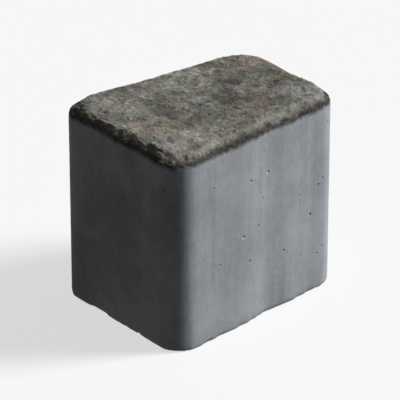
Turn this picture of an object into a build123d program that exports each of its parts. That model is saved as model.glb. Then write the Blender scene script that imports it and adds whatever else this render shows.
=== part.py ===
"""A small wedge-shaped concrete paving block with wavy flanks, rounded upright corners and a worn arris."""

import os
from math import radians, tan

from build123d import *

# The wedge in plan, between the straight lines that its flanks follow, and its thickness, in millimetres.
# The long front flank faces -Y and the short back flank +Y, so that blocks laid by turns fill a row.
front_length = 70.0
back_length = 53.0
row_width = 86.0
block_height = 80.0

# Upright corners, and the shallow hollows that run down the flanks
corner_radius = 10.0
hollow_depth = 0.9

# Worn arris round the wearing face: its reach down the flanks and in over the face, how far its rim
# wanders further in, and the rounder corners of the face
arris_drop = 4.0
arris_reach = 2.8
rim_wander = 1.1
worn_corner_radius = 12.0

# Rounding where the arris leaves the flanks and where it runs out into the face
shoulder_rounding = 1.0
rim_rounding = 2.0

# Places where each flank is drawn in, anticlockwise from the front: share of its length, share of the depth
flank_hollows = (
    ((0.25, 1.0), (0.50, 0.1), (0.74, 0.7)),
    ((0.20, 0.1), (0.43, 0.0), (0.56, 1.0), (0.69, 0.0), (0.90, 0.2)),
    ((0.30, 0.1), (0.58, 0.9), (0.84, 0.1)),
    ((0.20, 0.8), (0.45, 0.0), (0.72, 1.0), (0.88, 0.1)),
)

# Places where the rim of the wearing face wanders in, in the same order and shares
rim_hollows = (
    ((0.30, 0.2), (0.55, 1.0), (0.80, 0.1)),
    ((0.20, 0.7), (0.45, 0.0), (0.76, 0.9)),
    ((0.38, 0.8), (0.70, 0.1)),
    ((0.26, 0.1), (0.52, 0.9), (0.78, 0.2)),
)


def wedge_corners(inset):
    """The sharp corners of the wedge in plan, anticlockwise from the front left, with every flank moved in."""
    lean = (front_length - back_length) / 2 / row_width
    half_width = row_width / 2 - inset
    middle = (front_length + back_length) / 4 - inset * (1 + lean**2) ** 0.5
    front = middle + lean * half_width
    back = middle - lean * half_width
    return [
        Vector(-front, -half_width),
        Vector(front, -half_width),
        Vector(back, half_width),
        Vector(-back, half_width),
    ]


def wavy_wedge(inset, radius, hollows, depth):
    """The closed outline in plan: round corners, and flanks that leave them straight and are drawn in between."""
    corners = wedge_corners(inset)
    directions = [(end - start).normalized() for start, end in zip(corners, corners[1:] + corners[:1])]
    arrivals = []
    departures = []
    for number, corner in enumerate(corners):
        turn = directions[number - 1].get_angle(directions[number])
        setback = radius * tan(radians(turn) / 2)
        arrivals.append(corner - directions[number - 1] * setback)
        departures.append(corner + directions[number] * setback)
        TangentArc(arrivals[-1], departures[-1], tangent=directions[number - 1])
    for start, end, direction, places in zip(departures, arrivals[1:] + arrivals[:1], directions, hollows):
        inward = direction.rotate(Axis.Z, 90)
        drawn_in = [start + (end - start) * place + inward * depth * share for place, share in places]
        Spline(start, *drawn_in, end, tangents=(direction, direction))


shoulder_height = block_height - arris_drop

with BuildSketch() as flank_plan:
    with BuildLine():
        wavy_wedge(0, corner_radius, flank_hollows, hollow_depth)
    make_face()

with BuildSketch(Plane.XY.offset(block_height)) as wearing_face:
    with BuildLine():
        wavy_wedge(arris_reach, worn_corner_radius, rim_hollows, rim_wander)
    make_face()

# Upright flanks to the shoulder, then the arris closing in on the wearing face
with BuildPart() as paving_block:
    extrude(flank_plan.sketch, amount=shoulder_height)
    shoulder = paving_block.faces().sort_by(Axis.Z)[-1]
    loft([shoulder, wearing_face.sketch.face()], ruled=True)
    shoulder_edges = paving_block.edges().filter_by(Plane.XY).group_by(Axis.Z)[1]
    fillet(shoulder_edges, radius=shoulder_rounding)
    rim_edges = paving_block.faces().sort_by(Axis.Z)[-1].edges()
    fillet(rim_edges, radius=rim_rounding)

paving_block.part.label = "paving_block"
os.makedirs("parts", exist_ok=True)
export_step(paving_block.part, "parts/paving_block.step")
print(paving_block.part.label, paving_block.part.bounding_box(), round(paving_block.part.volume), "mm3")
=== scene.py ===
# %% [markdown]
# # A concrete paving block
# The block is one pressed casting: light grey flanks with shallow upright hollows, and a darker, mottled
# wearing face that wraps over a worn arris. The CAD frame already has the wedge, the hollows and the
# arris at their real size. This lesson gives that solid its concrete: a relief of stones, pocks and chips
# in the mesh, a finish made of nodes, and a plain studio. Everything is in metres, in the frame of the
# CAD.

# %% Load the frame
import math
import random

import bmesh
import bpy
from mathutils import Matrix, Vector, kdtree, noise


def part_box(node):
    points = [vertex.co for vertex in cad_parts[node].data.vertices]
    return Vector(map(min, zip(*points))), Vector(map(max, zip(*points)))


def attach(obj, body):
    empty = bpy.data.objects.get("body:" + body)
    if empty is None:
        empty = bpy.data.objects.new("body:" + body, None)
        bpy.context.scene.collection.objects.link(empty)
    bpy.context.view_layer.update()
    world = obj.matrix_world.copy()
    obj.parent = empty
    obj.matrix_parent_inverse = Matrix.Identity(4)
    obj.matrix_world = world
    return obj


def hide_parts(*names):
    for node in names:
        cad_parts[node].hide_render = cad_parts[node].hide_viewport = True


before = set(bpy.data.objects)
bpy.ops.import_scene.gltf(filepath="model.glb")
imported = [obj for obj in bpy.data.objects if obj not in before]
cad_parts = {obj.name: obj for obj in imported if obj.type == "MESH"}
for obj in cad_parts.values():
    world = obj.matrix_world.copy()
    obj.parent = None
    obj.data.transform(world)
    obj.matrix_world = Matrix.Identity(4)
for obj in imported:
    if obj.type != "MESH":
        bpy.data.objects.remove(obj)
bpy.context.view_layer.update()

block_low, block_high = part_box("paving_block")
MM = 0.001

# %% [markdown]
# ## The blank
# A weathered skin needs many small, even faces, because every stone and chip is a move of vertices. The
# outline could be drawn again by hand, but the CAD node has it exactly, so a copy of the node is the
# blank. Its loose triangles are merged first. A voxel remesh then lays an even net of squares over it,
# and a few rounds of smoothing take out the facets of the CAD mesh. Only the wearing face and its arris
# have fine relief, so only their squares are divided once more: the flanks stay coarser, and the piece
# stays light.

# %% Copy the node
MERGE_DISTANCE = 0.001 * MM


def merged_copy(node_name):
    """A new mesh object with the node's triangles joined into one closed surface."""
    shape = bmesh.new()
    shape.from_mesh(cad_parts[node_name].data)
    bmesh.ops.remove_doubles(shape, verts=shape.verts, dist=MERGE_DISTANCE)
    mesh = bpy.data.meshes.new("blank")
    shape.to_mesh(mesh)
    shape.free()
    copy = bpy.data.objects.new("blank", mesh)
    bpy.context.scene.collection.objects.link(copy)
    return copy


blank = merged_copy("paving_block")
print("blank:", len(blank.data.vertices), "vertices,", len(blank.data.polygons), "triangles")

# %% Lay an even skin over it
SKIN_STEP = 0.8 * MM
SMOOTH_ROUNDS = 6
SMOOTH_FACTOR = 0.5
ARRIS_DROP = 4.0 * MM
FINE_BAND = 3.0 * MM
block_height = block_high.z
shoulder_height = block_height - ARRIS_DROP


def even_skin(solid, step):
    """The solid's surface as a mesh of even squares, by a voxel remesh. The solid itself is used up."""
    remesh = solid.modifiers.new("even_skin", "REMESH")
    remesh.mode = "VOXEL"
    remesh.voxel_size = step
    ready = solid.evaluated_get(bpy.context.evaluated_depsgraph_get())
    mesh = bpy.data.meshes.new_from_object(ready)
    bpy.data.objects.remove(solid)
    return mesh


def divide(shape, faces, cuts):
    """Cuts the faces into smaller squares, and the faces beside them into triangles that meet them."""
    edges = list(dict.fromkeys(edge for face in faces for edge in face.edges))
    bmesh.ops.subdivide_edges(
        shape, edges=edges, cuts=cuts, use_grid_fill=True, use_single_edge=True
    )


skin = bmesh.new()
skin.from_mesh(even_skin(blank, SKIN_STEP))
for _ in range(SMOOTH_ROUNDS):
    bmesh.ops.smooth_vert(
        skin, verts=skin.verts, factor=SMOOTH_FACTOR, use_axis_x=True, use_axis_y=True, use_axis_z=True
    )
fine_from = shoulder_height - FINE_BAND
divide(skin, [face for face in skin.faces if face.calc_center_median().z > fine_from], cuts=1)
skin.normal_update()
print("skin:", len(skin.verts), "vertices,", len(skin.faces), "faces")

# %% [markdown]
# ## A place in the picture for every face
# When the finish is baked into pictures, for use outside Blender, every face needs a place in the
# picture: a UV map. An automatic unwrap would cut the rough skin into thousands of scraps, so the map is
# laid now, while the skin is still smooth. It is a box unfolded: the four flanks, the bed face and the
# top with its arris lie on one sheet, each as it looks straight on. The top is drawn almost twice as
# large, because it has the finest pattern.

# %% Share out the sheet
SHEET_GAP = 2.0 * MM
TOP_SCALE = 1.9
BED_SCALE = 0.9
long, wide, tall = block_high - block_low
sheet_width = 2 * wide + long + 4 * SHEET_GAP
low_row = SHEET_GAP + tall / 2
high_row = 2 * SHEET_GAP + tall
beside_top = 2 * SHEET_GAP + TOP_SCALE * long + long / 2

# For each side: its axes across and up the sheet, the middle of its drawing, and its scale
sheet_places = {
    "right": ("+Y", "+Z", SHEET_GAP + wide / 2, low_row, 1.0),
    "left": ("-Y", "+Z", 2 * SHEET_GAP + 1.5 * wide, low_row, 1.0),
    "front": ("+X", "+Z", 3 * SHEET_GAP + 2 * wide + long / 2, low_row, 1.0),
    "top": ("+X", "+Y", SHEET_GAP + TOP_SCALE * long / 2, high_row + TOP_SCALE * wide / 2, TOP_SCALE),
    "back": ("-X", "+Z", beside_top, high_row + tall / 2, 1.0),
    "bed": ("+X", "-Y", beside_top, high_row + tall + SHEET_GAP + BED_SCALE * wide / 2, BED_SCALE),
}
print("bake sheet:", len(sheet_places), "sides on", round(sheet_width / MM), "mm")

# %% Lay the bake map
BAKE_MAP = "OFBake"
TOP_TURN = 0.3
BED_TURN = -0.7


def side_of(normal):
    """The side of the block that a face of this normal is drawn with."""
    if normal.z > TOP_TURN:
        return "top"
    if normal.z < BED_TURN:
        return "bed"
    if abs(normal.y) > abs(normal.x):
        return "back" if normal.y > 0.0 else "front"
    return "right" if normal.x > 0.0 else "left"


def along(place, axis):
    """How far a place lies along a signed axis, such as -X."""
    return place["XYZ".index(axis[1])] * (1.0 if axis[0] == "+" else -1.0)


bake_map = skin.loops.layers.uv.new(BAKE_MAP)
block_middle = (block_low + block_high) / 2
for face in skin.faces:
    across, up, middle_across, middle_up, scale = sheet_places[side_of(face.normal)]
    for loop in face.loops:
        place = loop.vert.co - block_middle
        on_sheet = (along(place, across) * scale + middle_across, along(place, up) * scale + middle_up)
        loop[bake_map].uv = [distance / sheet_width for distance in on_sheet]
print("bake map:", len(skin.faces), "faces laid")

# %% [markdown]
# ## Chips and air holes
# Brittle stuff chips in shallow shells, like the mark that a spoon leaves in hard butter, and an air
# bubble that was caught against the mould leaves a small bowl. A boolean with many balls would be slow
# and leave ragged faces, so each bite of a ball is made by moving vertices: all that lie inside it are
# pushed out to its surface. Large bites are rare and small ones common. The worn arris gets many wide and
# shallow ones, the lower edge a few, and the flanks some small deep ones, where the squares are divided
# first so that the rims come out crisp. The draws come from a seeded generator, so the bites are the same
# on every run.

# %% Draw the bites
BITE_SEED = 23
RARITY = 2.5
ARRIS_CHIPS = {"count": 130, "depths": (0.12 * MM, 0.62 * MM), "radii": (2.5 * MM, 10.0 * MM)}
LOWER_CHIPS = {"count": 10, "depths": (0.08 * MM, 0.40 * MM), "radii": (1.5 * MM, 4.0 * MM)}
AIR_HOLES = {"count": 10, "depths": (0.28 * MM, 0.45 * MM), "radii": (0.45 * MM, 0.90 * MM)}
# Where they may lie, and how steeply up or down the skin may face there
CHIPS_FROM = 1.0 * MM
CHIPS_BELOW_FACE = 0.6 * MM
LOWER_EDGE = 0.7 * MM
HOLES_FROM = 6.0 * MM
HOLES_BELOW_ARRIS = 8.0 * MM
CHIP_STEEPEST = 0.9
HOLE_STEEPEST = 0.2


def ring_at(lowest, highest, steepest):
    """Places on the skin between two levels with no steeper normal, each with its normal."""
    return [
        (vert.co.copy(), vert.normal.copy())
        for vert in skin.verts
        if lowest < vert.co.z < highest and abs(vert.normal.z) < steepest
    ]


def draw_bites(draws, ring, count, depths, radii):
    """Balls that bite at places of the ring: centres and radii. Depths and radii are ranges."""
    balls = []
    for _ in range(count):
        place, normal = draws.choice(ring)
        depth = depths[0] + (depths[1] - depths[0]) * draws.random() ** RARITY
        radius = radii[0] + (radii[1] - radii[0]) * draws.random()
        balls.append((place + normal * (radius - depth), radius))
    return balls


bite_draws = random.Random(BITE_SEED)
arris_ring = ring_at(shoulder_height + CHIPS_FROM, block_height - CHIPS_BELOW_FACE, CHIP_STEEPEST)
lower_ring = ring_at(-LOWER_EDGE, LOWER_EDGE, CHIP_STEEPEST)
flank_ring = ring_at(HOLES_FROM, shoulder_height - HOLES_BELOW_ARRIS, HOLE_STEEPEST)
chips = draw_bites(bite_draws, arris_ring, **ARRIS_CHIPS)
chips += draw_bites(bite_draws, lower_ring, **LOWER_CHIPS)
air_holes = draw_bites(bite_draws, flank_ring, **AIR_HOLES)
print("bites:", len(chips), "chips and", len(air_holes), "air holes")

# %% Bite them out of the skin
HOLE_CUTS = 3
HOLE_MARGIN = 0.9 * MM


def tree_of(places):
    """A search tree of places."""
    tree = kdtree.KDTree(len(places))
    for number, place in enumerate(places):
        tree.insert(place, number)
    tree.balance()
    return tree


def faces_near(balls, margin):
    """The skin's faces inside the balls and a margin round them."""
    faces = list(skin.faces)
    tree = tree_of([face.calc_center_median() for face in faces])
    found = set()
    for centre, radius in balls:
        found.update(number for _, number, _ in tree.find_range(centre, radius + margin))
    return [faces[number] for number in sorted(found)]


def bite(balls):
    """Pushes the skin's vertices out of the balls."""
    verts = list(skin.verts)
    tree = tree_of([vert.co for vert in verts])
    for centre, radius in balls:
        for _, number, _ in tree.find_range(centre, radius):
            offset = verts[number].co - centre
            if 0.0 < offset.length < radius:
                verts[number].co = centre + offset * (radius / offset.length)


divide(skin, faces_near(air_holes, HOLE_MARGIN), cuts=HOLE_CUTS)
bite(chips + air_holes)
skin.normal_update()
print("bitten skin:", len(skin.faces), "faces")

# %% [markdown]
# ## The relief
# Three zones of the casting look different. The wearing face is uneven, with small stones that stand
# proud, worn patches between them and a few pocks. The arris is granular where it broke. The flanks were
# dragged past the mould's walls, so they have faint upright drag lines. A texture could only paint all
# this, so here it is in the mesh: each zone is a small function of the place in millimetres, made from
# Blender's own noise. Most of that noise is the same on every run, but vector noise, which bends the
# outlines of the stones, follows the clock until it is given a seed. The functions give more than a
# height. They also say which stone lies where and how much the low places are darkened, partly as dirt
# and partly as painted shade, and the finish reads that later, so that colour and relief agree.

# %% Noise helpers
CELL_SPREAD = 7.31
ROUGHENING = 0.9
FINER = 2.0


def smooth_step(low, high, value):
    """0 at low, 1 at high and a soft ramp between."""
    share = min(max((value - low) / (high - low), 0.0), 1.0)
    return share * share * (3.0 - 2.0 * share)


def clouds(place, width, octaves=1, patch=(0.0, 0.0, 0.0)):
    """Soft noise from -1 to 1, about as wide as given in millimetres, with finer noise on it by octaves.
    The patch is a shift to another part of the noise, so that two layers share no pattern."""
    return noise.fractal(place / width + Vector(patch), ROUGHENING, FINER, octaves)


def chance(cell, salt):
    """A fixed draw between 0 and 1 for a cell of a loose grid. Another salt is another draw."""
    return (1.0 + noise.cell(cell * CELL_SPREAD + Vector((salt, 0.0, 0.0)))) / 2


print("four draws of chance:", [round(chance(Vector((cell, 0.0, 0.0)), salt=1.7), 2) for cell in range(4)])

# %% Pocks and stones
NOISE_SEED = 23
POCK_FLOOR = 0.35
STONE_SPACING = 3.2
STONE_SHARE = 0.85
STONE_WIDTHS = (0.35, 0.65)
STONE_BEND = 0.45
STONE_BEND_WIDTH = 1.3
STONE_FLAT = 0.6
MIDDLE_TONE = 0.5


def pock(place, spacing, radius, share):
    """How deep a round pock is here, from 0 to 1: a share of the cells of a loose grid have one."""
    distances, cells = noise.voronoi(place / spacing)
    if chance(cells[0], salt=1.7) > share:
        return 0.0
    return smooth_step(1.0, POCK_FLOOR, distances[0] * spacing / radius)


def stone_at(place):
    """The small stone here: how far up its side this is, from 0 at its rim to 1, and its tone, 0 to 1."""
    bent = place + STONE_BEND * noise.noise_vector(place / STONE_BEND_WIDTH)
    distances, cells = noise.voronoi(bent / STONE_SPACING)
    if chance(cells[0], salt=4.1) > STONE_SHARE:
        return 0.0, MIDDLE_TONE
    narrow, broad = STONE_WIDTHS
    width = narrow + (broad - narrow) * chance(cells[0], salt=6.2)
    return smooth_step(1.0, STONE_FLAT, distances[0] / width), chance(cells[0], salt=9.4)


noise.seed_set(NOISE_SEED)
print("stones about", STONE_SPACING, "mm apart, in", round(100 * STONE_SHARE), "of 100 places")

# %% Relief of the wearing face
# Widths and heights in millimetres. A worn patch starts and is full at two values of its noise.
SWELL_WIDTH = 24.0
SWELL_HEIGHT = 0.50
WAVE_WIDTH = 8.5
WAVE_HEIGHT = 0.18
WAVE_PATCH = (6.0, 1.0, 4.0)
WORN_WIDTH = 4.8
WORN_DEPTH = 0.28
WORN_PATCH = (3.1, 0.0, 8.0)
WORN_LIMITS = (0.05, 0.45)
# The darkening of the worn patches and of the low grain below: partly dirt, partly painted shade
WORN_DIRT_AND_SHADE = 0.75
GRAIN_WIDTH = 1.4
GRAIN_HEIGHT = 0.15
GRAIN_DIRT_AND_SHADE = 0.5
STONE_HEIGHT = 0.14
FACE_POCKS = {"spacing": 6.5, "radius": 1.3, "share": 0.30}
POCK_DEPTH = 0.50


def face_relief(place):
    """The wearing face. Returns its height, its darkening of low places from 0 to 1, partly dirt and
    partly painted shade, and the stone here and its tone.
    """
    swell = clouds(place, SWELL_WIDTH, octaves=3)
    wave = clouds(place, WAVE_WIDTH, patch=WAVE_PATCH)
    worn = smooth_step(*WORN_LIMITS, clouds(place, WORN_WIDTH, octaves=2, patch=WORN_PATCH))
    grain = clouds(place, GRAIN_WIDTH, octaves=2)
    hole = pock(place, **FACE_POCKS)
    stone, tone = stone_at(place)
    stone *= 1.0 - worn
    height = SWELL_HEIGHT * swell + WAVE_HEIGHT * wave + STONE_HEIGHT * stone + GRAIN_HEIGHT * grain
    height -= WORN_DEPTH * worn + POCK_DEPTH * hole
    # Low places are darkened: partly dirt, partly painted shade
    dirt_and_shade = min(1.0, WORN_DIRT_AND_SHADE * worn + hole + max(0.0, -GRAIN_DIRT_AND_SHADE * grain))
    return height, dirt_and_shade, stone, tone


face_middle = Vector((0.0, 0.0, block_height / MM))
print("height of the relief at the face's middle:", round(face_relief(face_middle)[0], 2), "mm")

# %% Relief of the arris
NOTCH_WIDTH = 2.6
NOTCH_DEPTH = 0.18
NOTCH_PATCH = (1.0, 7.0, 5.0)
NOTCH_LIMITS = (0.08, 0.45)
# The darkening of the notches and of the low grain below: partly dirt, partly painted shade
NOTCH_DIRT_AND_SHADE = 0.5
ARRIS_GRAIN_WIDTH = 1.3
ARRIS_GRAIN_HEIGHT = 0.14
ARRIS_GRAIN_DIRT_AND_SHADE = 0.6
ARRIS_STONE_HEIGHT = 0.12


def arris_relief(place):
    """The arris: the rough grain that its chips show. Returns what the face's relief does."""
    notch = smooth_step(*NOTCH_LIMITS, clouds(place, NOTCH_WIDTH, patch=NOTCH_PATCH))
    grain = clouds(place, ARRIS_GRAIN_WIDTH, octaves=2)
    stone, tone = stone_at(place)
    height = ARRIS_STONE_HEIGHT * stone + ARRIS_GRAIN_HEIGHT * grain - NOTCH_DEPTH * notch
    # Low places are darkened: partly dirt, partly painted shade
    dirt_and_shade = min(1.0, NOTCH_DIRT_AND_SHADE * notch + max(0.0, -ARRIS_GRAIN_DIRT_AND_SHADE * grain))
    return height, dirt_and_shade, stone, tone


arris_front = Vector((0.0, block_low.y, block_height)) / MM
print("height of the relief at the front arris:", round(arris_relief(arris_front)[0], 2), "mm")

# %% Relief of the flanks and the bed face
DRAG_STRETCH = 19.0
DRAG_WIDTH = 2.4
DRAG_HEIGHT = 0.045
FLANK_GRAIN_WIDTH = 1.7
FLANK_GRAIN_HEIGHT = 0.04
OPEN_GRAIN_WIDTH = 2.3
OPEN_GRAIN_DEPTH = 0.22
OPEN_GRAIN_LIMITS = (0.05, 0.55)
BED_POCKS = {"spacing": 6.0, "radius": 1.2, "share": 0.25}


def flank_relief(place):
    """The flanks: the height of upright drag lines and fine grain."""
    drawn_out = Vector((place.x, place.y, place.z / DRAG_STRETCH))
    drag = DRAG_HEIGHT * clouds(drawn_out, DRAG_WIDTH, octaves=2)
    return drag + FLANK_GRAIN_HEIGHT * clouds(place, FLANK_GRAIN_WIDTH)


def bed_relief(place):
    """The bed face: flat, with open grain. Its moves go into the block only."""
    open_grain = smooth_step(*OPEN_GRAIN_LIMITS, clouds(place, OPEN_GRAIN_WIDTH))
    return -OPEN_GRAIN_DEPTH * open_grain - POCK_DEPTH * pock(place, **BED_POCKS)


print("height of the relief at the bed's middle:", round(bed_relief(Vector((0.0, 0.0, 0.0))), 2), "mm")

# %% [markdown]
# ### Where each zone lies
# The zones melt into each other. How far a vertex is turned up or down, and how high it lies against the
# arris, says what share each zone has in it. The relief of the face rises above the CAD face by up to
# half a millimetre, so the whole top settles by that much and the block keeps its height.

# %% Weather the skin
FACE_SETTLES = 0.55 * MM
# Limits of the zones: how far up or down the skin faces, and its level
BED_FACING = (0.85, 0.99)
FACE_FACING = (0.80, 0.98)
FACE_LEVELS = (-0.60, -0.30)
ARRIS_LEVELS = (-1.35, -1.05)
RIM_FACING = (0.995, 0.90)
RIM_LEVELS = (-0.45, -0.20)
SETTLING_LEVELS = (-1.20, -0.20)


def weather(place, level, normal):
    """One vertex: its move along its normal in millimetres, and its values of darkening (dirt and painted
    shade), stone, tone and rim. The level is 0 at the face and -1 at the foot of the arris."""
    on_bed = smooth_step(*BED_FACING, -normal.z)
    on_face = smooth_step(*FACE_FACING, normal.z) * smooth_step(*FACE_LEVELS, level)
    on_arris = smooth_step(*ARRIS_LEVELS, level) * (1.0 - on_face)
    on_flank = (1.0 - on_face) * (1.0 - on_arris) * (1.0 - on_bed)
    rim = smooth_step(*RIM_FACING, normal.z) * smooth_step(*RIM_LEVELS, level)
    move = on_bed * bed_relief(place) + on_flank * flank_relief(place)
    dirt_and_shade, stone, tone = 0.0, 0.0, MIDDLE_TONE
    for share, zone_relief in ((on_face, face_relief), (on_arris, arris_relief)):
        if share > 0.0:
            height, zone_dirt_and_shade, stone, tone = zone_relief(place)
            move += share * height
            dirt_and_shade += share * zone_dirt_and_shade
    return move, dirt_and_shade, stone, tone, rim


levels = [(vert.co.z - block_height) / ARRIS_DROP for vert in skin.verts]
weathered = [weather(vert.co / MM, level, vert.normal) for vert, level in zip(skin.verts, levels)]
for vert, level, values in zip(skin.verts, levels, weathered):
    vert.co += vert.normal * values[0] * MM
    vert.co.z -= FACE_SETTLES * smooth_step(*SETTLING_LEVELS, level)
skin.normal_update()
moves = [values[0] for values in weathered]
print("relief in mm: deepest", round(min(moves), 2), "highest", round(max(moves), 2))

# %% Make the piece
block_mesh = bpy.data.meshes.new("weathered_block")
skin.to_mesh(block_mesh)
skin.free()
block_mesh.shade_smooth()
# The darkening of low places, partly dirt and partly painted shade, goes on the mesh with the stones
for name, values in zip(("dirt_and_shade", "stone", "stone_tone", "rim"), list(zip(*weathered))[1:]):
    block_mesh.attributes.new(name, "FLOAT", "POINT").data.foreach_set("value", values)
block = bpy.data.objects.new("weathered_block", block_mesh)
bpy.context.scene.collection.objects.link(block)
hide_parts("paving_block")
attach(block, "root")
block_mesh.calc_loop_triangles()
print(block.name, len(block_mesh.loop_triangles), "triangles")

# %% [markdown]
# ## Concrete, by nodes
# Concrete is sand and cement, so its colour changes at every scale: single grains, clouds of a few
# millimetres, and broad tints. The same effects are needed for the light flanks and for the dark wearing
# face, with other values, so each effect is a node group. All patterns read Object coordinates, scaled to
# millimetres, so they sit still on the block and have the same grain from every side. A few helpers keep
# the node code short.

# %% Helpers: nodes and groups
def add_node(tree, kind, values=None, **settings):
    """A new node with its settings, and with its input values given by socket."""
    made = tree.nodes.new(kind)
    for name, value in settings.items():
        setattr(made, name, value)
    for socket, value in (values or {}).items():
        made.inputs[socket].default_value = value
    return made


def new_group(name, inputs, outputs):
    """An empty shader group with named sockets: inputs by name, type and value, and outputs by name.
    Returns it with the sockets that its own nodes link to."""
    tree = bpy.data.node_groups.new(name, "ShaderNodeTree")
    for socket_name, kind, value in inputs:
        socket = tree.interface.new_socket(socket_name, in_out="INPUT", socket_type=kind)
        if value is not None:
            socket.default_value = value
    for socket_name in outputs:
        tree.interface.new_socket(socket_name, in_out="OUTPUT", socket_type="NodeSocketFloat")
    return tree, tree.nodes.new("NodeGroupInput").outputs, tree.nodes.new("NodeGroupOutput").inputs


print("helpers for nodes and groups are ready")

# %% Helpers: sums and ramps
def feed(tree, socket, value):
    """Links an output to an input socket, or sets the input to a plain value."""
    if isinstance(value, bpy.types.NodeSocket):
        tree.links.new(value, socket)
    else:
        socket.default_value = value


def math_node(tree, operation, first, second):
    """A Math node on outputs or numbers. Returns its output."""
    made = add_node(tree, "ShaderNodeMath", operation=operation)
    feed(tree, made.inputs[0], first)
    feed(tree, made.inputs[1], second)
    return made.outputs["Value"]


def ramp(tree, value, low, high, to_low=0.0, to_high=1.0):
    """A soft ramp of a value between two limits."""
    limits = {"From Min": low, "From Max": high, "To Min": to_low, "To Max": to_high}
    made = add_node(tree, "ShaderNodeMapRange", values=limits, interpolation_type="SMOOTHSTEP")
    tree.links.new(value, made.inputs["Value"])
    return made.outputs["Result"]


print("helpers for sums and ramps are ready")

# %% [markdown]
# ### Sand grains
# A Voronoi texture splits space into cells. Coloured whole, the cells would look like a honeycomb, so
# each cell has one round grain at its middle, with a width and a tone drawn for the cell, and cement
# between the grains. A little noise bends the coordinates first, because sand isn't made of perfect
# balls.

# %% Group: sand grains
GRAIN_BEND = 0.7
GRAIN_BEND_SCALE = 1.6
GRAIN_NARROWEST = 0.30
GRAIN_SPREAD = 0.40
GRAIN_CORE = 0.5
LIGHT_FROM = 0.55
DARK_FROM = 0.45

grain_tree, grain_in, grain_out = new_group(
    "sand_grains",
    [("Vector", "NodeSocketVector", None), ("Grains per mm", "NodeSocketFloat", 1.0)],
    ["Light", "Dark", "Height"],
)
sized = add_node(grain_tree, "ShaderNodeVectorMath", operation="SCALE")
grain_tree.links.new(grain_in["Vector"], sized.inputs[0])
grain_tree.links.new(grain_in["Grains per mm"], sized.inputs["Scale"])
bend = add_node(grain_tree, "ShaderNodeTexNoise", values={"Scale": GRAIN_BEND_SCALE})
grain_tree.links.new(sized.outputs[0], bend.inputs["Vector"])
bent = add_node(grain_tree, "ShaderNodeVectorMath", values={1: [GRAIN_BEND] * 3}, operation="MULTIPLY_ADD")
grain_tree.links.new(bend.outputs["Color"], bent.inputs[0])
grain_tree.links.new(sized.outputs[0], bent.inputs[2])
cells = add_node(grain_tree, "ShaderNodeTexVoronoi", values={"Scale": 1.0}, feature="F1")
grain_tree.links.new(bent.outputs[0], cells.inputs["Vector"])
draw = add_node(grain_tree, "ShaderNodeSeparateColor")
grain_tree.links.new(cells.outputs["Color"], draw.inputs["Color"])
spread = math_node(grain_tree, "MULTIPLY", draw.outputs["Blue"], GRAIN_SPREAD)
width = math_node(grain_tree, "ADD", spread, GRAIN_NARROWEST)
from_middle = math_node(grain_tree, "DIVIDE", cells.outputs["Distance"], width)
grain = ramp(grain_tree, from_middle, GRAIN_CORE, 1.0, 1.0, 0.0)
for name, tone in (
    ("Light", ramp(grain_tree, draw.outputs["Red"], LIGHT_FROM, 1.0)),
    ("Dark", ramp(grain_tree, draw.outputs["Red"], DARK_FROM, 0.0)),
):
    grain_tree.links.new(math_node(grain_tree, "MULTIPLY", grain, tone), grain_out[name])
grain_tree.links.new(grain, grain_out["Height"])
print("group", grain_tree.name, len(grain_tree.nodes), "nodes")

# %% [markdown]
# ### Air pores
# Pressed concrete keeps tiny bubbles open at its surface. They are cells again, but only the middle of
# some cells counts: a pore is there where the cell's own draw is low enough.

# %% Group: air pores
PORE_NARROWEST = 0.05
PORE_SPREAD = 0.22
PORE_FLOOR = 0.55

pore_tree, pore_in, pore_out = new_group(
    "air_pores",
    [
        ("Vector", "NodeSocketVector", None),
        ("Pores per mm", "NodeSocketFloat", 0.4),
        ("Share", "NodeSocketFloat", 0.3),
    ],
    ["Pore"],
)
cells = add_node(pore_tree, "ShaderNodeTexVoronoi", feature="F1")
pore_tree.links.new(pore_in["Vector"], cells.inputs["Vector"])
pore_tree.links.new(pore_in["Pores per mm"], cells.inputs["Scale"])
draw = add_node(pore_tree, "ShaderNodeSeparateColor")
pore_tree.links.new(cells.outputs["Color"], draw.inputs["Color"])
chosen = math_node(pore_tree, "LESS_THAN", draw.outputs["Green"], pore_in["Share"])
spread = math_node(pore_tree, "MULTIPLY", draw.outputs["Blue"], PORE_SPREAD)
width = math_node(pore_tree, "ADD", spread, PORE_NARROWEST)
from_middle = math_node(pore_tree, "DIVIDE", cells.outputs["Distance"], width)
hollow = ramp(pore_tree, from_middle, PORE_FLOOR, 1.0, 1.0, 0.0)
pore_tree.links.new(math_node(pore_tree, "MULTIPLY", chosen, hollow), pore_out["Pore"])
print("group", pore_tree.name, len(pore_tree.nodes), "nodes")

# %% [markdown]
# ### Drift of colour
# Wet concrete is never mixed evenly. Noise at three widths, added up, makes the tone of the mix drift
# from light to dark, and three more clouds say where it turns warm, green or yellow. The contrast is an
# input, because the wearing face drifts a lot and the flanks hardly at all.

# %% Group: drift of colour
# Width in millimetres, strength and patch of noise of each cloud of tone
TONE_CLOUDS = (
    (34.0, 3.2, (0.0, 31.0, 0.0)),
    (11.0, 1.3, (17.0, 31.0, 43.0)),
    (4.2, 1.0, (34.0, 31.0, 86.0)),
)
# Width in millimetres and patch of noise of each tint's cloud, and where the tint starts and is full
TINT_CLOUDS = {
    "Warm": (26.0, (11.0, 5.0, 0.0)),
    "Green": (15.0, (70.0, 31.0, 9.0)),
    "Yellow": (19.0, (5.0, 83.0, 61.0)),
}
TINT_FROM = 0.46
TINT_FULL = 0.66
NOISE_MIDDLE = 0.5


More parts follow.
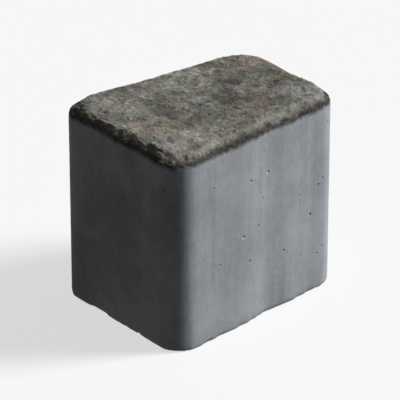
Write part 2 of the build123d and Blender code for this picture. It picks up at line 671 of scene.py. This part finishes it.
def noise_value(tree, coordinates, width, detail=3.0, roughness=0.55, patch=(0.0, 0.0, 0.0)):
    """A noise texture, from 0 to 1, whose features are about as wide as given in millimetres."""
    moved = add_node(tree, "ShaderNodeVectorMath", values={1: patch}, operation="ADD")
    tree.links.new(coordinates, moved.inputs[0])
    shape = {"Scale": 1.0 / width, "Detail": detail, "Roughness": roughness}
    made = add_node(tree, "ShaderNodeTexNoise", values=shape)
    tree.links.new(moved.outputs[0], made.inputs["Vector"])
    return made.outputs["Fac"]


drift_tree, drift_in, drift_out = new_group(
    "colour_drift",
    [("Vector", "NodeSocketVector", None), ("Contrast", "NodeSocketFloat", 1.0)],
    ["Tone", *TINT_CLOUDS],
)
tone_sum = 0.0
for width, strength, patch in TONE_CLOUDS:
    cloud = noise_value(drift_tree, drift_in["Vector"], width, patch=patch)
    from_middle = math_node(drift_tree, "SUBTRACT", cloud, NOISE_MIDDLE)
    swing = math_node(drift_tree, "MULTIPLY", from_middle, strength)
    tone_sum = math_node(drift_tree, "ADD", swing, tone_sum)
contrasted = math_node(drift_tree, "MULTIPLY", tone_sum, drift_in["Contrast"])
drift_tree.links.new(math_node(drift_tree, "ADD", contrasted, 1.0), drift_out["Tone"])
for name, (width, patch) in TINT_CLOUDS.items():
    cloud = noise_value(drift_tree, drift_in["Vector"], width, patch=patch)
    drift_tree.links.new(ramp(drift_tree, cloud, TINT_FROM, TINT_FULL), drift_out[name])
print("group", drift_tree.name, len(drift_tree.nodes), "nodes")

# %% [markdown]
# ### The face mix
# The dark mix of the wearing face starts from one grey. The tints drift over it, stones and three sizes
# of grains lie in it, light and dark, and its pits and hollows are darkened, partly by dirt and partly by
# painted shade. The stones and the darkening of the hollows come from the mesh: the relief left them there
# as attributes, so a stone that stands proud is also the stone that has another colour. The rim of the
# face is rubbed a little paler, and near the foot of the arris, where the mix ends, a dark band of
# painted shade lies on it.

# %% Colours of the face mix
FACE_BASE = (0.155, 0.148, 0.134, 1.0)
FACE_TINTS = {
    "Warm": (0.186, 0.140, 0.116, 1.0),
    "Green": (0.146, 0.168, 0.136, 1.0),
    "Yellow": (0.177, 0.161, 0.118, 1.0),
}
FACE_DARK = (0.062, 0.057, 0.050, 1.0)
FACE_LIGHT = (0.314, 0.301, 0.268, 1.0)
# A dark colour for dirt and painted shade in pits and low places
FACE_DIRT_AND_SHADE = (0.045, 0.042, 0.037, 1.0)
# Painted shade: the dark band along the foot of the arris, on the end of the face mix and the top of the
# flank
ARRIS_SHADE = (0.27, 0.26, 0.25, 1.0)
STONE_TONES = (
    (0.00, (0.050, 0.048, 0.046, 1.0)),
    (0.20, (0.085, 0.081, 0.075, 1.0)),
    (0.45, (0.145, 0.138, 0.122, 1.0)),
    (0.60, (0.172, 0.136, 0.114, 1.0)),
    (0.72, (0.190, 0.200, 0.172, 1.0)),
    (1.00, (0.352, 0.338, 0.302, 1.0)),
)
# How strongly each pattern colours the mix
STONES_SHOW = 0.75
RIM_SHOWS = 0.20
# Pits and low places are darkened: partly dirt, partly painted shade
PITS_SHOW = 0.60
DIRT_AND_SHADE_SHOWS = 0.50
print("face mix:", len(FACE_TINTS), "tints,", len(STONE_TONES), "stone tones")

# %% Lay the face mix
def mix_colour(tree, share, first, second, blend="MIX"):
    """Mixes two colours by a share. Returns the result."""
    made = add_node(tree, "ShaderNodeMix", data_type="RGBA", blend_type=blend)
    for socket, value in (("Factor_Float", share), ("A_Color", first), ("B_Color", second)):
        feed(tree, next(found for found in made.inputs if found.identifier == socket), value)
    return next(found for found in made.outputs if found.identifier == "Result_Color")


def attribute(tree, name):
    """A value that the relief left on the mesh."""
    made = add_node(tree, "ShaderNodeAttribute", attribute_type="GEOMETRY", attribute_name=name)
    return made.outputs["Fac"]


def stone_colour(tree):
    """The colour of the stone here, by its tone."""
    made = add_node(tree, "ShaderNodeValToRGB")
    stops = made.color_ramp.elements
    while len(stops) < len(STONE_TONES):
        stops.new(1.0)
    for stop, (position, colour) in zip(stops, STONE_TONES):
        stop.position = position
        stop.color = colour
    tree.links.new(attribute(tree, "stone_tone"), made.inputs["Fac"])
    return made.outputs["Color"]


def tinted(tree, colour, mask, strength, tint):
    """The colour, mixed towards a tint where the mask is, at a part of its strength."""
    return mix_colour(tree, math_node(tree, "MULTIPLY", mask, strength), colour, tint)


def face_colour(tree, drift, grains, pits, edge):
    """The dark, mottled face mix. Grains are groups with the strengths of their light and dark."""
    face = FACE_BASE
    for name, tint in FACE_TINTS.items():
        face = mix_colour(tree, drift[name], face, tint)
    face = tinted(tree, face, attribute(tree, "stone"), STONES_SHOW, stone_colour(tree))
    for group, light, dark in grains:
        face = tinted(tree, face, group["Light"], light, FACE_LIGHT)
        face = tinted(tree, face, group["Dark"], dark, FACE_DARK)
    face = mix_colour(tree, 1.0, face, drift["Tone"], "MULTIPLY")
    face = tinted(tree, face, attribute(tree, "rim"), RIM_SHOWS, FACE_LIGHT)
    # Pits and low places are darkened: partly dirt, partly painted shade
    face = tinted(tree, face, pits["Pore"], PITS_SHOW, FACE_DIRT_AND_SHADE)
    face = tinted(tree, face, attribute(tree, "dirt_and_shade"), DIRT_AND_SHADE_SHOWS, FACE_DIRT_AND_SHADE)
    # The foot of the arris is darkened: painted shade
    return mix_colour(tree, edge, face, ARRIS_SHADE, "MULTIPLY")


print("layers of the face mix: tints, stones, grains, tone, rim, pits, dirt, edge")

# %% [markdown]
# ### The flanks
# The flanks are plain grey cement, drawn past the mould's walls. Noise that is stretched upright gives
# the faint bands that this leaves, lighter and darker than the base. Sand shows as fine dots, pits and
# pores are darkened, partly by dirt and partly by painted shade, and just below the face mix a band of
# painted shade darkens the flank under the arris.

# %% Colours of the flanks
FLANK_BASE = (0.311, 0.331, 0.352, 1.0)
FLANK_DARK = (0.225, 0.240, 0.255, 1.0)
FLANK_LIGHT = (0.375, 0.393, 0.410, 1.0)
# Where in the noise the light and the dark bands start and are full, and how strongly each pattern shows
LIGHT_BANDS = (0.54, 0.74)
DARK_BANDS = (0.46, 0.26)
BANDS_SHOW = 0.60
DUST_SHOWS = 0.80
# Pits and pores are darkened partly as dirt, partly as painted shade
FLANK_PITS_SHOW = 0.50
PORES_SHOW = 0.60
# How strongly the painted shade under the arris darkens the flank
SHADE_UNDER_ARRIS_SHOWS = 0.85


def flank_colour(tree, drift, streak, dust, pores, pits, shade_under_arris):
    """The light grey body of the block."""
    flank = tinted(tree, FLANK_BASE, ramp(tree, streak, *LIGHT_BANDS), BANDS_SHOW, FLANK_LIGHT)
    flank = tinted(tree, flank, ramp(tree, streak, *DARK_BANDS), BANDS_SHOW, FLANK_DARK)
    flank = mix_colour(tree, 1.0, flank, drift["Tone"], "MULTIPLY")
    flank = tinted(tree, flank, dust["Dark"], DUST_SHOWS, FLANK_DARK)
    flank = tinted(tree, flank, dust["Light"], DUST_SHOWS, FLANK_LIGHT)
    # Pits and pores are darkened: partly dirt, partly painted shade
    flank = tinted(tree, flank, pits["Pore"], FLANK_PITS_SHOW, FLANK_DARK)
    flank = tinted(tree, flank, pores["Pore"], PORES_SHOW, FACE_DARK)
    # Just under the face mix the flank is darkened: painted shade under the arris
    return mix_colour(tree, math_node(tree, "MULTIPLY", shade_under_arris, SHADE_UNDER_ARRIS_SHOWS), flank, ARRIS_SHADE, "MULTIPLY")


print("flank greys:", FLANK_DARK[:3], "to", FLANK_LIGHT[:3])

# %% [markdown]
# ### The finish of the block
# The face and the flanks are one material, because they are one casting. A mask that follows the height,
# made ragged by noise, says where the face mix ends. Grains, pits and drag lines that are too fine for
# the mesh are a bump, in true millimetres: the Bump node's distance is one millimetre and its strength is
# 1. Concrete is dull, so the roughness only drifts a little with the tone.

# %% The border of the face mix
# Its noise in millimetres, and how far above the shoulder the mix starts where the noise is 0
RAGGED_WIDTH = 3.0
RAGGED_HEIGHT = 3.4
RAGGED_PATCH = (3.0, 9.0, 27.0)
MIX_FROM = 1.1


def place_in_mm(tree):
    """Object coordinates in millimetres."""
    where = add_node(tree, "ShaderNodeTexCoord")
    scaled = add_node(tree, "ShaderNodeVectorMath", values={"Scale": 1.0 / MM}, operation="SCALE")
    tree.links.new(where.outputs["Object"], scaled.inputs[0])
    return scaled.outputs[0]


def ragged_level(tree, place):
    """The height above the start of the face mix in millimetres, made ragged by noise."""
    split = add_node(tree, "ShaderNodeSeparateXYZ")
    tree.links.new(place, split.inputs[0])
    ragged = noise_value(tree, place, RAGGED_WIDTH, detail=5.0, roughness=0.7, patch=RAGGED_PATCH)
    uneven = math_node(tree, "ADD", split.outputs["Z"], math_node(tree, "MULTIPLY", ragged, RAGGED_HEIGHT))
    return math_node(tree, "SUBTRACT", uneven, shoulder_height / MM + MIX_FROM)


lowest_start = round(RAGGED_HEIGHT - MIX_FROM, 1)
print("the face mix starts from", MIX_FROM, "mm above to", lowest_start, "mm below the shoulder")

# %% Streaks and bump
STREAK_STRETCH = (1.0, 1.0, 0.06)
STREAK_WIDTH = 4.0
FINE_WIDTH = 0.5
# Heights of the bump's layers in millimetres
FACE_BUMP = {"grit": 0.10, "sand": 0.08, "dust": 0.04, "fine": 0.05, "pits": -0.12}
FLANK_BUMP = {"dust": 0.015, "fine": 0.015, "streak": 0.06, "pits": -0.07, "pores": -0.20}


def streaks(tree, place):
    """Noise that is stretched upright."""
    stretched = add_node(tree, "ShaderNodeVectorMath", values={1: STREAK_STRETCH}, operation="MULTIPLY")
    tree.links.new(place, stretched.inputs[0])
    return noise_value(tree, stretched.outputs[0], STREAK_WIDTH, detail=4.0, roughness=0.6)


def bump_height(tree, patterns, sizes):
    """The sum of the patterns, each times its size."""
    total = 0.0
    for name, size in sizes.items():
        total = math_node(tree, "ADD", math_node(tree, "MULTIPLY", patterns[name], size), total)
    return total


print("bump:", len(FACE_BUMP), "layers on the face,", len(FLANK_BUMP), "on the flanks")

# %% Material: block concrete
SPECULAR = 0.25
# Heights from the start of the mix: where it is full, where its dark edge of painted shade is full and
# where that ends, and how low the painted shade under the arris reaches
MIX_FULL = 0.5
EDGE_FULL = 1.0
EDGE_ENDS = 2.8
SHADE_UNDER_ARRIS_REACH = 1.4
# Roughness of the dark and of the light tones
DARK_TONE = 0.7
LIGHT_TONE = 1.3
DARK_ROUGHNESS = 0.95
LIGHT_ROUGHNESS = 0.82
# How strongly the tone drifts, and the sizes of grains, pores and pits
FACE_CONTRAST = 1.0
FLANK_CONTRAST = 0.22
GRIT_PER_MM = 0.45
SAND_PER_MM = 0.95
DUST_PER_MM = 2.2
PORES = {"Pores_per_mm": 0.38, "Share": 0.06}
PITS = {"Pores_per_mm": 1.3, "Share": 0.35}
# How strongly the light and the dark grains of each size colour the face
GRIT_SHOWS = (0.50, 0.60)
SAND_SHOWS = (0.70, 0.70)
FACE_DUST_SHOWS = (0.50, 0.50)


def place_group(tree, group, coordinates, **values):
    """Places a group in a tree. Underscores stand for spaces in the socket names. Returns its outputs."""
    made = add_node(tree, "ShaderNodeGroup", node_tree=group)
    tree.links.new(coordinates, made.inputs["Vector"])
    for name, value in values.items():
        made.inputs[name.replace("_", " ")].default_value = value
    return made.outputs


def block_concrete():
    """The finish of the whole block."""
    material = bpy.data.materials.new("block_concrete")
    material.use_nodes = True
    tree = material.node_tree
    shader = tree.nodes["Principled BSDF"]
    shader.inputs["Specular IOR Level"].default_value = SPECULAR

    place = place_in_mm(tree)
    face_drift = place_group(tree, drift_tree, place, Contrast=FACE_CONTRAST)
    flank_drift = place_group(tree, drift_tree, place, Contrast=FLANK_CONTRAST)
    grit = place_group(tree, grain_tree, place, Grains_per_mm=GRIT_PER_MM)
    sand = place_group(tree, grain_tree, place, Grains_per_mm=SAND_PER_MM)
    dust = place_group(tree, grain_tree, place, Grains_per_mm=DUST_PER_MM)
    pores = place_group(tree, pore_tree, place, **PORES)
    pits = place_group(tree, pore_tree, place, **PITS)
    streak = streaks(tree, place)

    level = ragged_level(tree, place)
    on_face = ramp(tree, level, 0.0, MIX_FULL)
    # The dark band at the foot of the arris, above and below where the mix ends, is painted shade
    edge = ramp(tree, level, EDGE_ENDS, EDGE_FULL)
    shade_under_arris = ramp(tree, level, -SHADE_UNDER_ARRIS_REACH, 0.0)
    grains = ((grit, *GRIT_SHOWS), (sand, *SAND_SHOWS), (dust, *FACE_DUST_SHOWS))
    face = face_colour(tree, face_drift, grains, pits, edge)
    flank = flank_colour(tree, flank_drift, streak, dust, pores, pits, shade_under_arris)
    tree.links.new(mix_colour(tree, on_face, flank, face), shader.inputs["Base Color"])
    rough = ramp(tree, face_drift["Tone"], DARK_TONE, LIGHT_TONE, DARK_ROUGHNESS, LIGHT_ROUGHNESS)
    tree.links.new(rough, shader.inputs["Roughness"])

    patterns = {
        "grit": grit["Height"],
        "sand": sand["Height"],
        "dust": dust["Height"],
        "fine": noise_value(tree, place, FINE_WIDTH, roughness=0.7),
        "streak": streak,
        "pits": pits["Pore"],
        "pores": pores["Pore"],
    }
    chosen = add_node(tree, "ShaderNodeMix", data_type="FLOAT")
    tree.links.new(on_face, chosen.inputs["Factor"])
    tree.links.new(bump_height(tree, patterns, FLANK_BUMP), chosen.inputs["A"])
    tree.links.new(bump_height(tree, patterns, FACE_BUMP), chosen.inputs["B"])
    bump = add_node(tree, "ShaderNodeBump", values={"Strength": 1.0, "Distance": MM})
    tree.links.new(chosen.outputs["Result"], bump.inputs["Height"])
    tree.links.new(bump.outputs["Normal"], shader.inputs["Normal"])
    return material


block_mesh.materials.append(block_concrete())
print("finish:", block_mesh.materials[0].name, len(block_mesh.materials[0].node_tree.nodes), "nodes")

# %% [markdown]
# ## Studio
# The block stands on a plain pale floor. One large soft key light comes from the right and a little
# behind, so the right flank is bright and the long front flank lies in shade. A weak even light fills the
# shade. A second lamp stands low behind on the left: it doesn't reach the sides that the camera sees, and
# in views from behind it shows the left flank. The floor glows a little by itself and gives no light to
# the block, so its shadow stays pale.

# %% Floor
FLOOR_SIZE = 6.0
FLOOR_GAP = 0.02 * MM
FLOOR_GREY = (0.25, 0.25, 0.25, 1.0)
FLOOR_GLOW = 0.66
FLOOR_ROUGHNESS = 0.9
WHITE = (1.0, 1.0, 1.0, 1.0)


def pale_floor():
    """A large flat floor that takes a soft shadow."""
    shape = bmesh.new()
    bmesh.ops.create_grid(shape, x_segments=1, y_segments=1, size=FLOOR_SIZE / 2)
    bmesh.ops.translate(shape, verts=shape.verts, vec=(0.0, 0.0, -FLOOR_GAP))
    mesh = bpy.data.meshes.new("floor")
    shape.to_mesh(mesh)
    shape.free()
    material = bpy.data.materials.new("pale_floor")
    material.use_nodes = True
    shader = material.node_tree.nodes["Principled BSDF"]
    shader.inputs["Base Color"].default_value = FLOOR_GREY
    shader.inputs["Roughness"].default_value = FLOOR_ROUGHNESS
    shader.inputs["Specular IOR Level"].default_value = 0.0
    shader.inputs["Emission Color"].default_value = WHITE
    shader.inputs["Emission Strength"].default_value = FLOOR_GLOW
    mesh.materials.append(material)
    return bpy.data.objects.new("floor", mesh)


floor = pale_floor()
floor.visible_diffuse = False
bpy.context.scene.collection.objects.link(floor)
print("floor:", FLOOR_SIZE, "m square")

# %% Light
KEY_AZIMUTH = math.radians(58.0)
KEY_ELEVATION = math.radians(40.0)
KEY_STRENGTH = 4.85
BACK_AZIMUTH = math.radians(140.0)
BACK_ELEVATION = 0.0
BACK_STRENGTH = 1.2
SOFTNESS = math.radians(18.0)
FILL_STRENGTH = 0.073
BACKGROUND_STRENGTH = 0.95


def direction(azimuth, elevation):
    """The direction from the block to a place, by its angles from +X and from the floor."""
    level = math.cos(elevation)
    return Vector((level * math.cos(azimuth), level * math.sin(azimuth), math.sin(elevation)))


def soft_light(name, azimuth, elevation, strength):
    """A soft light, as from a large lamp far away."""
    lamp = bpy.data.lights.new(name, "SUN")
    lamp.energy = strength
    lamp.angle = SOFTNESS
    light = bpy.data.objects.new(name, lamp)
    light.rotation_mode = "QUATERNION"
    light.rotation_quaternion = direction(azimuth, elevation).to_track_quat("Z", "Y")
    return light


def even_fill():
    """Weak light from all round. The camera sees white beyond the floor."""
    world = bpy.data.worlds.new("studio")
    world.use_nodes = True
    tree = world.node_tree
    background = tree.nodes["Background"]
    background.inputs["Color"].default_value = WHITE
    path = add_node(tree, "ShaderNodeLightPath")
    seen = ramp(tree, path.outputs["Is Camera Ray"], 0.0, 1.0, FILL_STRENGTH, BACKGROUND_STRENGTH)
    tree.links.new(seen, background.inputs["Strength"])
    return world


for light in (
    soft_light("key", KEY_AZIMUTH, KEY_ELEVATION, KEY_STRENGTH),
    soft_light("back", BACK_AZIMUTH, BACK_ELEVATION, BACK_STRENGTH),
):
    bpy.context.scene.collection.objects.link(light)
bpy.context.scene.world = even_fill()
print("light: key", KEY_STRENGTH, "back", BACK_STRENGTH, "fill", FILL_STRENGTH)

# %% Camera
VIEW_AZIMUTH = math.radians(-40.0)
VIEW_ELEVATION = math.radians(27.0)
FRAME_WIDTH = 152.0 * MM
LENS = 300.0
SENSOR = 36.0


def middle_along(axis):
    """The middle of the block along an axis of the view, as a vector."""
    reach = [vert.co.dot(axis) for vert in block_mesh.vertices]
    return axis * (min(reach) + max(reach)) / 2


def photo_camera():
    """A long lens at the photograph's angle, centred on the block."""
    towards = direction(VIEW_AZIMUTH, VIEW_ELEVATION)
    turn = towards.to_track_quat("Z", "Y")
    middle = middle_along(turn @ Vector((1.0, 0.0, 0.0))) + middle_along(turn @ Vector((0.0, 1.0, 0.0)))
    lens = bpy.data.cameras.new("photo_camera")
    lens.lens = LENS
    lens.sensor_width = SENSOR
    camera = bpy.data.objects.new("photo_camera", lens)
    camera.location = middle + towards * FRAME_WIDTH * LENS / SENSOR
    camera.rotation_mode = "QUATERNION"
    camera.rotation_quaternion = turn
    return camera


camera = photo_camera()
bpy.context.scene.collection.objects.link(camera)
bpy.context.scene.camera = camera
bpy.context.scene.view_settings.view_transform = "Standard"
print("camera:", round(camera.location.length, 2), "m away")
